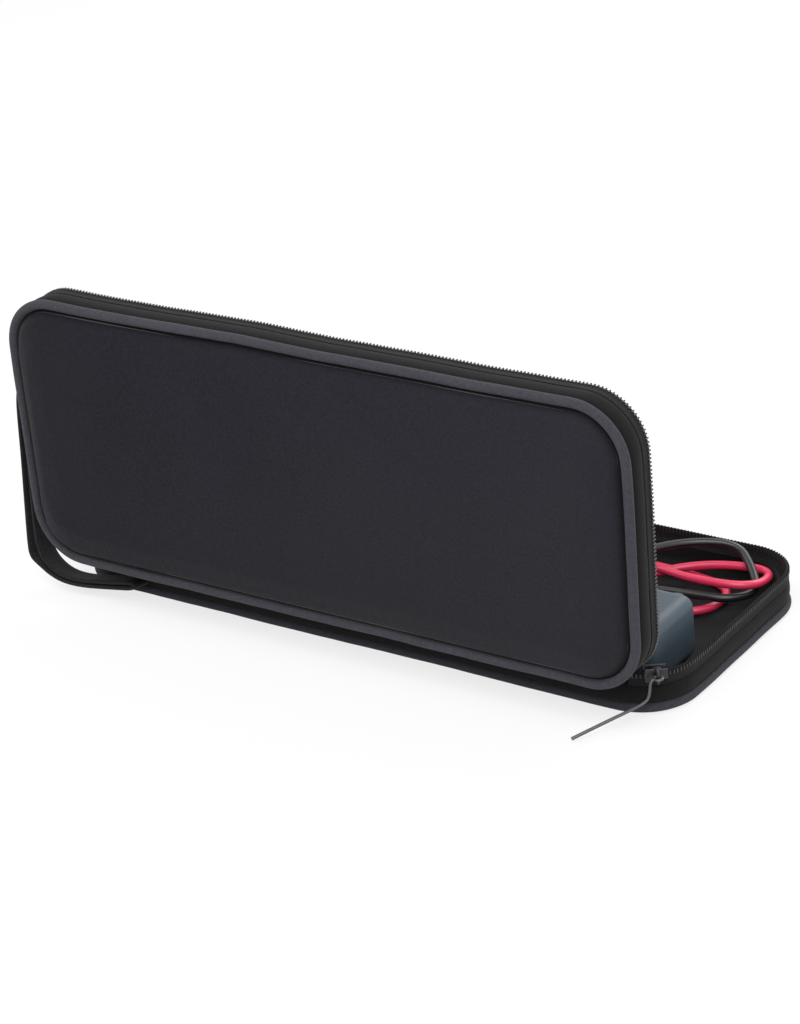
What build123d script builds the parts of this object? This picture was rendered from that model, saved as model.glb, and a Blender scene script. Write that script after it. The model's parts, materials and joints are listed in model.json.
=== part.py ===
"""Tone and probe kit: a zipped soft case, a tone generator with two test leads and an amplifier probe.

Millimetres. The origin is the centre of the underside of the case's base, +X runs along the spine,
+Y from the spine to the zipped side and +Z up. The lid stands open at a right angle to the base.
"""
from build123d import *
from math import cos, degrees, pi, radians, sin, tan
import os

os.makedirs("parts", exist_ok=True)

# ---- case ----
case_w = 280.0
case_d = 114.0
half_h = 18.0
corner_r = 22.5
piping_d = 4.0
panel_t = 1.5
board_t = 1.4
board_inset = 5.0
gusset_inset = 0.8
gusset_top = 12.0
lining_t = 0.8
lining_gap = 0.2
tape_inset = 1.0
tape_t = 1.0
tape_top = 16.0
chain_inset = 0.5
chain_w = 2.0
chain_slit = 1.0
zip_end_past_corner = 5.0
flap_t = 1.2
flap_inset = 0.4
fold_r = 0.8
hinge_out = 0.4

half_w = case_w / 2
half_d = case_d / 2
hinge_y = -half_d - hinge_out
hinge_z = half_h
chain_top = half_h - chain_slit / 2
lining_low = panel_t + board_t + 0.1
floor_z = lining_low + lining_t
lining_inset = piping_d + lining_gap
inner_inset = lining_inset + lining_t
corner_x = half_w - corner_r
corner_y = -half_d + corner_r
zip_end_x = corner_x + zip_end_past_corner

base_plane = Plane.XY
lid_plane = Plane(
    origin=(0, hinge_y - half_h, hinge_z + hinge_out + half_d), x_dir=(-1, 0, 0), z_dir=(0, 1, 0)
)

# ---- zip slider and pull ----
slider_angle = -48.0
slider_length = 9.0
slider_below = 4.4
slider_above = 1.4
slider_plate_t = 1.2
slider_clear = 0.3
web_t = 0.5
web_length = 3.2
bail_bar_r = 0.9
eye_clear = 0.3
eye_wall = 1.0
eye_h = 2.6
eye_side_gap = 0.3
lug_t = 1.0
bail_drop = 1.4
pull_angle = -124.0
pull_w = 1.8
pull_t = 1.4
pull_drop_z = 9.0
pull_bend = 2.6
pull_reach = 36.0
pull_tip_z = 1.6

# ---- wrist strap ----
strap_w = 9.0
strap_t = 1.4
strap_y = hinge_y - 9.0

# ---- running and seating clearances ----
seat_gap = 0.3
slip = 0.15

# ---- tone generator ----
toner_l = 68.0
toner_w = 54.0
toner_h = 26.0
toner_x = -90.0
toner_y = 20.0
toner_r = 7.0
toner_wall = 2.0
toner_edge = 2.5

# ---- amplifier probe ----
probe_l = 220.0
probe_w = 36.0
probe_h = 26.0
probe_end_x = 128.0
probe_y = -29.0
probe_r = 6.0
probe_end_r = 4.8
probe_wall = 2.0
nose_l = 54.0
nose_w = 17.0
nose_h = 15.0
tip_l = 22.0

# ---- 9 V battery ----
battery_l = 48.5
battery_w = 26.5
battery_h = 17.5
snap_t = 3.5

# ---- test leads and clips ----
lead_d = 3.4
lead_r = lead_d / 2
relief_l = 8.0
relief_r = 2.9
clip_tail_x = 14.0
clip_l = 50.0
clip_w = 6.4
clip_lead_z = 7.0
red_clip_y = 42.0
black_clip_y = -2.0

tool_z = floor_z + seat_gap
finished = []


def keep(builder, name):
    """Label a finished piece and write it to its own file."""
    builder.part.label = name
    export_step(builder.part, f"parts/{name}.step")
    finished.append(name)


def corner_radii(points):
    """The widest arc at each corner that its two runs allow, with the tightest printed."""
    radii = []
    for a, b, c in zip(points, points[1:], points[2:]):
        one = Vector(*b) - Vector(*a)
        two = Vector(*c) - Vector(*b)
        shorter = min(one.length, two.length)
        half_turn = radians(one.get_angle(two)) / 2
        radii.append(0.45 * shorter / tan(half_turn))
    print("tightest radius", round(min(radii), 1), "of", [round(r) for r in radii])
    return radii


def ring(plane, low, high, outer, inner):
    """A wall round the case between two insets from its outline."""
    with BuildPart() as wall:
        with BuildSketch(plane.offset(low)):
            RectangleRounded(case_w - 2 * outer, case_d - 2 * outer, corner_r - outer)
            RectangleRounded(case_w - 2 * inner, case_d - 2 * inner, corner_r - inner, mode=Mode.SUBTRACT)
        extrude(amount=high - low)
    return wall


def zip_ring(plane, low, high, outer, inner):
    """A wall round three sides and all four corners, open along the spine."""
    with BuildPart() as wall:
        with BuildSketch(plane.offset(low)):
            RectangleRounded(case_w - 2 * outer, case_d - 2 * outer, corner_r - outer)
            RectangleRounded(case_w - 2 * inner, case_d - 2 * inner, corner_r - inner, mode=Mode.SUBTRACT)
            with Locations((0, -half_d)):
                Rectangle(2 * zip_end_x, corner_r, mode=Mode.SUBTRACT)
        extrude(amount=high - low)
    return wall


def plate(plane, low, thickness, inset):
    """A flat sheet of the case's outline, less an inset."""
    with BuildPart() as sheet:
        with BuildSketch(plane.offset(low)):
            RectangleRounded(case_w - 2 * inset, case_d - 2 * inset, corner_r - inset)
        extrude(amount=thickness)
    return sheet


def piping(plane):
    """The round edging cord on the seam between the panel and the side wall."""
    inset = piping_d / 2
    x = half_w - inset
    y = half_d - inset
    r = corner_r - inset
    with BuildPart() as cord:
        with BuildLine(plane.offset(inset)) as run:
            for sx, sy, start in ((1, 1, 0), (-1, 1, 90), (-1, -1, 180), (1, -1, 270)):
                CenterArc((sx * (x - r), sy * (y - r)), r, start, 90)
            Line((x, -(y - r)), (x, y - r))
            Line((x - r, y), (-(x - r), y))
            Line((-x, y - r), (-x, -(y - r)))
            Line((-(x - r), -y), (x - r, -y))
        path = run.wire()
        with BuildSketch(Plane(origin=path @ 0, z_dir=path % 0)):
            Circle(inset)
        sweep(path=path)
    return cord


def lining(plane):
    """The inner tub: a floor and a low wall."""
    wall_h = gusset_top - lining_low
    with BuildPart() as tub:
        with BuildSketch(plane.offset(lining_low)):
            RectangleRounded(case_w - 2 * lining_inset, case_d - 2 * lining_inset, corner_r - lining_inset)
        extrude(amount=wall_h)
        with BuildSketch(plane.offset(floor_z)):
            RectangleRounded(case_w - 2 * inner_inset, case_d - 2 * inner_inset, corner_r - inner_inset)
        extrude(amount=wall_h, mode=Mode.SUBTRACT)
    return tub


def spine_flap(plane):
    """The half of the spine fabric that is sewn to one side wall."""
    with BuildPart() as flap:
        with BuildSketch(plane.offset(gusset_top)):
            with Locations((0, -half_d + flap_inset + flap_t / 2)):
                Rectangle(2 * corner_x - 2, flap_t)
        extrude(amount=half_h - flap_inset - gusset_top)
    return flap


def case_half(plane, side):
    """All the pieces of one half of the case."""
    keep(plate(plane, 0, panel_t, piping_d), f"{side}_panel")
    keep(plate(plane, panel_t, board_t, board_inset), f"{side}_stiffener_board")
    keep(piping(plane), f"{side}_piping")
    keep(ring(plane, piping_d, gusset_top, gusset_inset, piping_d), f"{side}_side_wall")
    keep(lining(plane), f"{side}_lining")
    tape_inner = tape_inset + tape_t
    keep(zip_ring(plane, gusset_top, tape_top, tape_inset, tape_inner), f"{side}_zip_tape")
    chain_inner = chain_inset + chain_w
    keep(zip_ring(plane, tape_top, chain_top, chain_inset, chain_inner), f"{side}_zip_chain")
    keep(spine_flap(plane), f"{side}_spine_flap")


def spine_fold():
    """The rolled fold of the spine fabric, on the lid's hinge axis."""
    with BuildPart() as fold:
        with BuildSketch(Plane(origin=(-corner_x + 1, hinge_y, hinge_z), z_dir=(1, 0, 0))):
            Circle(fold_r)
        extrude(amount=2 * corner_x - 2)
    keep(fold, "spine_fold")


# ---- slider: two curved plates about the chain, a web in the slit and a bail ----
plate_outer_r = corner_r - chain_inset + slider_clear
plate_inner_r = corner_r - chain_inset - chain_w - slider_clear
bail_r = plate_outer_r + slider_plate_t + eye_wall + bail_bar_r + eye_clear + 0.2
bail_z = half_h - bail_drop
bail_x = corner_x + bail_r * cos(radians(slider_angle))
bail_y = corner_y + bail_r * sin(radians(slider_angle))
eye_r = bail_bar_r + eye_clear + eye_wall


def sector(low, height, inner, outer, length, mode=Mode.ADD):
    """A block of the corner's ring, centred on the slider's place."""
    half = degrees(length / 2 / corner_r)
    reach = 2 * corner_r
    sides = [radians(slider_angle - half), radians(slider_angle + half)]
    with BuildSketch(Plane.XY.offset(low)) as outline:
        with Locations((corner_x, corner_y)):
            Circle(outer)
            Circle(inner, mode=Mode.SUBTRACT)
            corners = [(0, 0)] + [(reach * cos(a), reach * sin(a)) for a in sides]
            Polygon(*corners, align=None, mode=Mode.INTERSECT)
    extrude(outline.sketch, amount=height, mode=mode)


def zip_slider():
    """The slider body with its bail."""
    low = half_h - slider_below
    height = slider_below + slider_above
    with BuildPart() as body:
        sector(low, height, plate_outer_r, plate_outer_r + slider_plate_t, slider_length)
        sector(low, height, plate_inner_r - slider_plate_t, plate_inner_r, slider_length)
        web_low = half_h - web_t / 2
        sector(web_low, web_t, plate_inner_r - 0.5, plate_outer_r + 0.5, web_length)
        lug_r = bail_r + bail_bar_r
        eye_room = eye_h / 2 + eye_side_gap
        for lug_low in (bail_z - eye_room - lug_t, bail_z + eye_room):
            sector(lug_low, lug_t, plate_outer_r + 0.5, lug_r, 2 * bail_bar_r + 0.8)
        bar_h = 2 * (eye_room + lug_t)
        with BuildSketch(Plane.XY.offset(bail_z - bar_h / 2)):
            with Locations((bail_x, bail_y)):
                Circle(bail_bar_r)
        extrude(amount=bar_h)
    keep(body, "zip_slider")


def zip_pull():
    """The pull: an eye on the bail, a short drop and a long thin rod down to the table."""
    along = Vector(cos(radians(pull_angle)), sin(radians(pull_angle)), 0)
    side = Plane(origin=(bail_x, bail_y, 0), x_dir=along, z_dir=along.cross(Vector(0, 0, 1)))
    neck = eye_r + 1.0
    with BuildPart() as pull:
        with BuildSketch(Plane.XY.offset(bail_z - eye_h / 2)):
            with Locations((bail_x, bail_y)):
                Circle(eye_r)
                Circle(bail_bar_r + eye_clear, mode=Mode.SUBTRACT)
        extrude(amount=eye_h)
        with BuildSketch(side):
            with BuildLine():
                Polyline(
                    (bail_bar_r + eye_clear + 0.4, bail_z),
                    (neck, bail_z),
                    (neck + 0.6, pull_drop_z + pull_bend),
                    (neck + 2 * pull_bend, pull_drop_z - 1.6),
                    (pull_reach, pull_tip_z),
                )
            trace(line_width=pull_t)
        extrude(amount=pull_w / 2, both=True)
    keep(pull, "zip_pull")


strap_route = [
    (-half_w + 0.2, 82),
    (-148.5, 78),
    (-152.6, 64),
    (-153, 42),
    (-151.5, 20),
    (-144, 5),
    (-130, 1),
    (-112, 1.2),
    (-101, 1),
    (-95, 1.4),
    (-93.2, 3.6),
    (-95, 5.8),
    (-101, 6),
    (-112, 5.2),
    (-128, 6),
    (-140, 12),
    (-146.5, 26),
    (-147.6, 46),
    (-146, 63),
    (-half_w + 0.2, 73),
]


def wrist_strap():
    """The flat webbing loop: both ends are sewn to the lid's short side."""
    with BuildPart() as strap:
        with BuildSketch(Plane(origin=(0, strap_y, 0), x_dir=(1, 0, 0), z_dir=(0, -1, 0))):
            with BuildLine():
                FilletPolyline(*strap_route, radius=corner_radii([(x, 0, z) for x, z in strap_route]))
            trace(line_width=strap_t)
        extrude(amount=strap_w / 2, both=True)
    keep(strap, "wrist_strap")


# ---- tone generator ----
toner_low = tool_z
toner_split = toner_low + toner_h / 2
toner_top = toner_low + toner_h
toner_end_x = toner_x + toner_l / 2
boss_dx = toner_l / 2 - 6.5
boss_dy = toner_w / 2 - 6.5
boss_r = 3.0
screw_r = 1.2
screw_head_r = 2.2
screw_head_h = 2.4
screw_seat = 3.0
screw_grip = 6.0
post_root = 0.5
door_l = 40.0
door_w = 24.0
door_dx = 4.0
door_dy = -4.0
switch_slot_l = 13.0
switch_slot_w = 5.0
switch_travel = 3.0
switch_dx = 14.0
switch_dy = 12.0
lamp_r = 2.3
lamp_dx = 14.0
lamp_dy = -6.0
lamp_gap = 11.0
jack_w = 12.0
jack_h = 9.0
jack_l = 13.0
jack_wall = 1.5
red_y = 31.0
black_y = 11.0
lead_exit_z = 14.0
board_z = toner_split - 3.0
board_post_dx = 18.0
toner_board_l = 46.0
toner_board_w = 14.0
board_thickness = 1.6


def toner_block(low, height, inset, mode=Mode.ADD):
    """A rounded block of the tone generator's outline."""
    with BuildSketch(Plane.XY.offset(low)) as outline:
        with Locations((toner_x, toner_y)):
            RectangleRounded(toner_l - 2 * inset, toner_w - 2 * inset, toner_r - inset)
    extrude(outline.sketch, amount=height, mode=mode)


def toner_corners():
    """Centres of the four screw bosses."""
    return [(toner_x + sx * boss_dx, toner_y + sy * boss_dy) for sx in (-1, 1) for sy in (-1, 1)]


def round_posts(centres, low, height, radius, mode=Mode.ADD):
    """Upright cylinders at the given centres."""
    with BuildSketch(Plane.XY.offset(low)) as outline:
        with Locations(*centres):
            Circle(radius)
    extrude(outline.sketch, amount=height, mode=mode)


def end_hole(x, y, z, depth, radius, mode=Mode.SUBTRACT):
    """A round hole or boss along +X from x."""
    with BuildSketch(Plane(origin=(x, y, z), z_dir=(1, 0, 0))) as outline:
        Circle(radius)
    extrude(outline.sketch, amount=depth, mode=mode)


def jack_block(x, depth, width, height, mode):
    """A rectangular block along +X at the modular jack."""
    with BuildSketch(Plane(origin=(x, toner_y, toner_split), x_dir=(0, 1, 0), z_dir=(1, 0, 0))) as outline:
        Rectangle(width, height)
    extrude(outline.sketch, amount=depth, mode=mode)


def jack_opening():
    """The jack's hole through the end wall of either shell."""
    outside = toner_x - toner_l / 2 - 1
    jack_block(outside, toner_wall + 3, jack_w + 2 * slip, jack_h + 2 * slip, Mode.SUBTRACT)


def toner_back_shell():
    """The lower shell: screw bosses, board posts, battery opening and the leads' end bosses."""
    with BuildPart() as shell:
        toner_block(toner_low, toner_h / 2, 0)
        fillet(shell.faces().sort_by(Axis.Z)[0].edges(), toner_edge)
        toner_block(toner_low + toner_wall, toner_h / 2, toner_wall, Mode.SUBTRACT)
        round_posts(toner_corners(), toner_low + post_root, toner_h / 2 - post_root, boss_r)
        posts = [(toner_x + s * board_post_dx, toner_y + board_post_dx) for s in (-1, 1)]
        round_posts(posts, toner_low + post_root, board_z - toner_low - post_root, boss_r)
        round_posts(toner_corners(), toner_low, toner_h / 2, screw_r + slip, Mode.SUBTRACT)
        round_posts(toner_corners(), toner_low, screw_seat, screw_head_r + slip, Mode.SUBTRACT)
        with BuildSketch(Plane.XY.offset(toner_low)):
            with Locations((toner_x + door_dx, toner_y + door_dy)):
                RectangleRounded(door_l, door_w, 2)
        extrude(amount=toner_wall, mode=Mode.SUBTRACT)
        for y in (red_y, black_y):
            end_hole(toner_end_x - toner_wall - 1, y, lead_exit_z, 8, relief_r - 0.6)
        jack_opening()
    keep(shell, "toner_back_shell")


def toner_front_shell():
    """The upper shell: screw sockets, switch slot and lamp holes."""
    with BuildPart() as shell:
        toner_block(toner_split, toner_h / 2, 0)
        fillet(shell.faces().sort_by(Axis.Z)[-1].edges(), toner_edge)
        toner_block(toner_split - 1, toner_h / 2 - toner_wall + 1, toner_wall, Mode.SUBTRACT)
        round_posts(toner_corners(), toner_split, toner_h / 2 - post_root, boss_r)
        round_posts(toner_corners(), toner_split, screw_grip + slip, screw_r + slip, Mode.SUBTRACT)
        with BuildSketch(Plane.XY.offset(toner_top - toner_wall)):
            with Locations((toner_x + switch_dx, toner_y + switch_dy)):
                Rectangle(switch_slot_l, switch_slot_w)
        extrude(amount=toner_wall, mode=Mode.SUBTRACT)
        hole_low = toner_top - toner_wall - 1
        round_posts(toner_lamp_places(), hole_low, toner_wall + 2, lamp_r + 0.1, Mode.SUBTRACT)
        jack_opening()
    keep(shell, "toner_front_shell")


def toner_lamp_places():
    """Centres of the two indicator lamps."""
    y = toner_y + lamp_dy
    return [(toner_x + lamp_dx, y), (toner_x + lamp_dx - lamp_gap, y)]


def toner_door():
    """The battery door, flush in the lower shell."""
    with BuildPart() as door:
        with BuildSketch(Plane.XY.offset(toner_low)):
            with Locations((toner_x + door_dx, toner_y + door_dy)):
                RectangleRounded(door_l - 2 * slip, door_w - 2 * slip, 2 - slip)
        extrude(amount=toner_wall)
    keep(door, "toner_battery_door")


def toner_switch():
    """The slide switch's knob, held under the top wall by its flange."""
    with BuildPart() as knob:
        x = toner_x + switch_dx
        y = toner_y + switch_dy
        under = toner_top - toner_wall
        with BuildSketch(Plane.XY.offset(under - 1.2)):
            with Locations((x, y)):
                Rectangle(switch_slot_l + 1, switch_slot_w + 3)
        extrude(amount=1.1)
        with BuildSketch(Plane.XY.offset(under - 0.6)):
            with Locations((x, y)):
                Rectangle(switch_slot_l - 2 * switch_travel - 2 * slip, switch_slot_w - 2 * slip)
        extrude(amount=toner_wall + 1.8)
    keep(knob, "toner_switch_knob")


def toner_inside():
    """The lamps, line jack, case screws, circuit board and battery."""
    with BuildPart() as lamps:
        round_posts(toner_lamp_places(), toner_top - toner_wall - 0.8, toner_wall + 1.2, lamp_r)
    keep(lamps, "toner_lamps")

    with BuildPart() as jack:
        x = toner_x - toner_l / 2 + 0.4
        jack_block(x, jack_l, jack_w, jack_h, Mode.ADD)
        jack_block(x, jack_l - jack_wall, jack_w - 2 * jack_wall, jack_h - 2 * jack_wall, Mode.SUBTRACT)
    keep(jack, "toner_line_jack")

    with BuildPart() as screws:
        head_low = toner_low + screw_seat - screw_head_h - 0.1
        round_posts(toner_corners(), head_low, screw_head_h, screw_head_r)
        round_posts(toner_corners(), toner_low + screw_seat / 2, toner_h / 2 + screw_grip - 2, screw_r)
    keep(screws, "toner_screws")

    with BuildPart() as board:
        with BuildSketch(Plane.XY.offset(board_z)):
            with Locations((toner_x, toner_y + board_post_dx - 0.5)):
                Rectangle(toner_board_l, toner_board_w)
        extrude(amount=board_thickness)
    keep(board, "toner_circuit_board")

    battery_x = toner_end_x - toner_wall - slip - snap_t - battery_l / 2
    battery("toner", battery_x, toner_y + door_dy, toner_low + toner_wall + slip)


def battery(owner, x, y, low):
    """A 9 V battery lying along X, with its snap connector at the +X end."""
    with BuildPart() as cell:
        with BuildSketch(Plane.XY.offset(low)):
            with Locations((x, y)):
                RectangleRounded(battery_l, battery_w, 1.5)
        extrude(amount=battery_h)
    keep(cell, f"{owner}_battery")
    with BuildPart() as snap:
        face = x + battery_l / 2
        with BuildSketch(Plane(origin=(face, y, low + battery_h / 2), x_dir=(0, 1, 0), z_dir=(1, 0, 0))):
            RectangleRounded(battery_w - 2, battery_h - 3, 2)
        extrude(amount=snap_t)
    keep(snap, f"{owner}_battery_snap")


# ---- amplifier probe ----
probe_low = tool_z
probe_mid = probe_low + probe_h / 2
probe_top = probe_low + probe_h
nose_x = probe_end_x - (probe_l - nose_l - tip_l)
tip_x = nose_x - nose_l
button_x = 40.0
button_l = 15.0
button_w = 9.0
button_travel = 1.2
probe_lamp_x = 6.0
wheel_x = 19.0
wheel_r = 9.0
wheel_t = 4.0
wheel_out = 1.8
wheel_pin_r = 1.5
wheel_y = probe_y + probe_w / 2 - wheel_r + wheel_out
wheel_z = probe_mid + wheel_t / 2 + 1.0
speaker_x = 101.0
speaker_r = 13.0
speaker_t = 5.0
speaker_seat_h = 1.2
speaker_top = probe_top - probe_wall - speaker_seat_h
slot_count = 7
slot_pitch = 3.2
cell_x = 59.0
cell_rise = 0.5
probe_boss_dy = 12.5
rest_dy = 8.0
rest_r = 2.5
board_end_x = 33.0
probe_board_w = 24.0
probe_board_z = probe_mid - 4.0


def probe_section(x, width, height, inset):
    """A rounded cross-section of the probe, facing along +X."""
    with BuildSketch(Plane(origin=(x, probe_y, probe_mid), x_dir=(0, 1, 0), z_dir=(1, 0, 0))) as outline:
        RectangleRounded(width - 2 * inset, height - 2 * inset, probe_r - inset)
    return outline.sketch


def probe_body(inset):
    """The probe's outer or inner form: a long rounded bar with a tapered nose."""
    wide = probe_section(nose_x, probe_w, probe_h, inset)
    extrude(wide, amount=probe_end_x - inset - nose_x)
    loft([wide, probe_section(tip_x, nose_w, nose_h, inset)])


def probe_screw_places():
    """Centres of the probe's four case screws."""
    ends = (nose_x + 8, probe_end_x - 6)
    return [(x, probe_y + s * probe_boss_dy) for x in ends for s in (-1, 1)]


with BuildPart() as probe_inside:
    probe_body(probe_wall)

with BuildPart() as probe_hull:
    probe_body(0)
    fillet(probe_hull.faces().sort_by(Axis.X)[-1].edges(), probe_end_r)
    add(probe_inside.part, mode=Mode.SUBTRACT)
    with BuildSketch(Plane(origin=(tip_x - 1, probe_y, probe_mid), z_dir=(1, 0, 0))):
        Circle(3.2)
    extrude(amount=4, mode=Mode.SUBTRACT)
    with BuildSketch(Plane.XY.offset(wheel_z - wheel_t / 2 - 0.4)):
        with Locations((wheel_x, wheel_y)):
            Circle(wheel_r + 0.5)
    extrude(amount=wheel_t + 0.8, mode=Mode.SUBTRACT)


def probe_bottom_shell():
    """The probe's lower half with its battery opening, screw bosses and board rests."""
    with BuildPart() as shell:
        add(probe_hull.part)
        split(bisect_by=Plane.XY.offset(probe_mid), keep=Keep.BOTTOM)
        round_posts(probe_screw_places(), probe_low + post_root, probe_h / 2 - post_root, boss_r)
        round_posts(probe_screw_places(), probe_low, probe_h / 2, screw_r + slip, Mode.SUBTRACT)
        round_posts(probe_screw_places(), probe_low, screw_seat, screw_head_r + slip, Mode.SUBTRACT)
        with BuildSketch(Plane.XY.offset(probe_low)):
            with Locations((cell_x, probe_y)):
                RectangleRounded(door_l, door_w, 2)
        extrude(amount=probe_wall, mode=Mode.SUBTRACT)
        rests = [(x, probe_y + s * rest_dy) for x in (nose_x + 22, board_end_x - 5) for s in (-1, 1)]
        round_posts(rests, probe_low + post_root, probe_board_z - probe_low - post_root, rest_r)
    keep(shell, "probe_bottom_shell")


def probe_top_shell():
    """The probe's upper half with the button, lamp and speaker openings and the wheel's pin."""
    with BuildPart() as shell:
        add(probe_hull.part)
        split(bisect_by=Plane.XY.offset(probe_mid), keep=Keep.TOP)
        round_posts(probe_screw_places(), probe_mid, probe_h / 2 - post_root, boss_r)
        round_posts(probe_screw_places(), probe_mid, screw_grip + slip, screw_r + slip, Mode.SUBTRACT)
        with BuildSketch(Plane.XY.offset(probe_top - probe_wall - 1)):
            with Locations((button_x, probe_y)):
                SlotOverall(button_l + 0.4, button_w + 0.4)
            with Locations((probe_lamp_x, probe_y)):
                Circle(lamp_r + 0.1)
            with Locations((speaker_x, probe_y)):
                with GridLocations(slot_pitch, 0, slot_count, 1):
                    SlotOverall(18, 1.4, rotation=90)
        extrude(amount=probe_wall + 2, mode=Mode.SUBTRACT)
        seat = [(speaker_x, probe_y)]
        round_posts(seat, speaker_top, speaker_seat_h + 0.2, speaker_r + 1.2)
        round_posts(seat, speaker_top, speaker_seat_h + 0.2, speaker_r - 1.0, Mode.SUBTRACT)
        wheel_top = wheel_z + wheel_t / 2
        round_posts([(wheel_x, wheel_y)], wheel_top + seat_gap, probe_top - 1 - wheel_top, 2 * wheel_pin_r)
        round_posts([(wheel_x, wheel_y)], wheel_top - wheel_t, wheel_t + 1.5, wheel_pin_r)
    keep(shell, "probe_top_shell")


def probe_nose_tip():
    """The tapered conductive tip, plugged into the nose."""
    with BuildPart() as tip:
        with BuildSketch(Plane(origin=(tip_x, probe_y, probe_mid), z_dir=(-1, 0, 0))):
            Circle(6.0)
        with BuildSketch(Plane(origin=(tip_x - tip_l, probe_y, probe_mid), z_dir=(-1, 0, 0))):
            Circle(2.6)
        loft()
        end_hole(tip_x, probe_y, probe_mid, 3.5, 3.0, Mode.ADD)
        fillet(tip.faces().sort_by(Axis.X)[0].edges(), 1.5)
    keep(tip, "probe_tip")


def probe_controls():
    """The push button, the lamp and the volume wheel."""
    with BuildPart() as button:
        with BuildSketch(Plane.XY.offset(probe_top - probe_wall - 0.6)):
            with Locations((button_x, probe_y)):
                SlotOverall(button_l, button_w)
        extrude(amount=probe_wall + 2.0)
        fillet(button.faces().sort_by(Axis.Z)[-1].edges(), 0.8)
        with BuildSketch(Plane.XY.offset(probe_top - probe_wall - 1.4)):
            with Locations((button_x, probe_y)):
                SlotOverall(button_l + 3, button_w + 3)
        extrude(amount=1.2)
    keep(button, "probe_button")

    with BuildPart() as lamp:
        round_posts([(probe_lamp_x, probe_y)], probe_top - probe_wall - 0.8, probe_wall + 1.2, lamp_r)
    keep(lamp, "probe_lamp")

    with BuildPart() as wheel:
        round_posts([(wheel_x, wheel_y)], wheel_z - wheel_t / 2, wheel_t, wheel_r)
        grips = 30
        with BuildSketch(Plane.XY.offset(wheel_z - wheel_t / 2)):
            with Locations((wheel_x, wheel_y)):
                with PolarLocations(wheel_r + 0.15, grips):
                    Circle(0.45)
        extrude(amount=wheel_t, mode=Mode.SUBTRACT)
        round_posts([(wheel_x, wheel_y)], wheel_z - wheel_t / 2, wheel_t, wheel_pin_r + 0.06, Mode.SUBTRACT)
    keep(wheel, "probe_volume_wheel")


def probe_fittings():
    """The speaker, circuit board, battery door and case screws."""
    with BuildPart() as speaker:
        round_posts([(speaker_x, probe_y)], speaker_top - speaker_t - 0.1, speaker_t, speaker_r)
    keep(speaker, "probe_speaker")

    with BuildPart() as board:
        start = nose_x + 14
        with BuildSketch(Plane.XY.offset(probe_board_z)):
            with Locations(((start + board_end_x) / 2, probe_y)):
                Rectangle(board_end_x - start, probe_board_w)
        extrude(amount=board_thickness)
    keep(board, "probe_circuit_board")

    with BuildPart() as door:
        with BuildSketch(Plane.XY.offset(probe_low)):
            with Locations((cell_x, probe_y)):
                RectangleRounded(door_l - 2 * slip, door_w - 2 * slip, 2 - slip)
        extrude(amount=probe_wall)
    keep(door, "probe_battery_door")

    with BuildPart() as screws:
        head_low = probe_low + screw_seat - screw_head_h - 0.1
        round_posts(probe_screw_places(), head_low, screw_head_h, screw_head_r)
        round_posts(probe_screw_places(), probe_low + screw_seat / 2, probe_h / 2 + screw_grip - 2, screw_r)
    keep(screws, "probe_screws")


# ---- test leads ----
red_route = [
    (toner_end_x + relief_l, red_y, lead_exit_z),
    (-36, red_y, lead_exit_z),
    (-18, 31, 9.4),
    (8, 30, 6.2),
    (38, 30.5, 6.4),
    (66, 32, 9.5),
    (87, 27, 14.8),
    (107, 21.5, 15.6),
    (132.5, 26.5, 15),
    (128.5, 49.5, 11),
    (106, 46, 11),
    (88, 36, 9.4),
    (79, 24, 7),
    (84, 11, 6),
    (100, 9, 6.1),
    (117, 17, 6),
    (117, 37, 6),
    (94, 42, 6.1),
    (64, 42.5, 6),
    (40, 42, 6.2),
    (26, red_clip_y, clip_lead_z),
    (clip_tail_x, red_clip_y, clip_lead_z),
]
black_route = [
    (toner_end_x + relief_l, black_y, lead_exit_z),
    (-36, black_y, lead_exit_z),
    (-18, 11, 9.4),
    (8, 12, 6.2),
    (34, 12.5, 6.6),
    (58, 14, 12),
    (80, 23, 20.5),
    (94, 41, 20.5),
    (112, 49.5, 19.5),
    (122, 43, 14),
    (129.5, 33, 9.6),
    (123, 21.5, 10.3),
    (108, 18.5, 10.9),
    (88, 13, 12.3),
    (66, 4, 7.2),
    (42, -2.5, 6.2),
    (26, black_clip_y, clip_lead_z),
    (clip_tail_x, black_clip_y, clip_lead_z),
]


def lead(points, name):
    """One test lead as a round tube of straight runs and tangent arcs."""
    with BuildPart() as tube:
        with BuildLine() as run:
            FilletPolyline(*points, radius=corner_radii(points))
        path = run.wire()
        with BuildSketch(Plane(origin=path @ 0, z_dir=path % 0)):
            Circle(lead_r)
        sweep(path=path)
    straight = pi * lead_r**2 * path.length
    print(name, "length", round(path.length, 1), "volume ratio", round(tube.part.volume / straight, 5))
    keep(tube, name)


def strain_relief(y, name):
    """The tapered sleeve where a lead leaves the tone generator."""
    with BuildPart() as sleeve:
        with BuildSketch(Plane(origin=(toner_end_x, y, lead_exit_z), z_dir=(1, 0, 0))):
            Circle(relief_r)
        with BuildSketch(Plane(origin=(toner_end_x + relief_l, y, lead_exit_z), z_dir=(1, 0, 0))):
            Circle(lead_r + 0.5)
        loft()
        end_hole(toner_end_x - toner_wall, y, lead_exit_z, toner_wall, relief_r - 0.75, Mode.ADD)
    keep(sleeve, name)


# ---- alligator clips ----
pin_x = clip_tail_x - 24.0
pin_z = 10.0
pin_r = 1.0
clip_low = floor_z + seat_gap
sheet_t = 0.9
boot_l = 16.0
boot_h = 5.2
boot_wall = 1.2
jaw_r = 2.2


def clip_profile(y, points, width):
    """A solid of an XZ outline, centred on y."""
    with BuildSketch(Plane(origin=(0, y, 0), x_dir=(1, 0, 0), z_dir=(0, -1, 0))) as outline:
        with BuildLine():
            Polyline(*points, close=True)
        make_face()
    extrude(outline.sketch, amount=width / 2, both=True)


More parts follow.
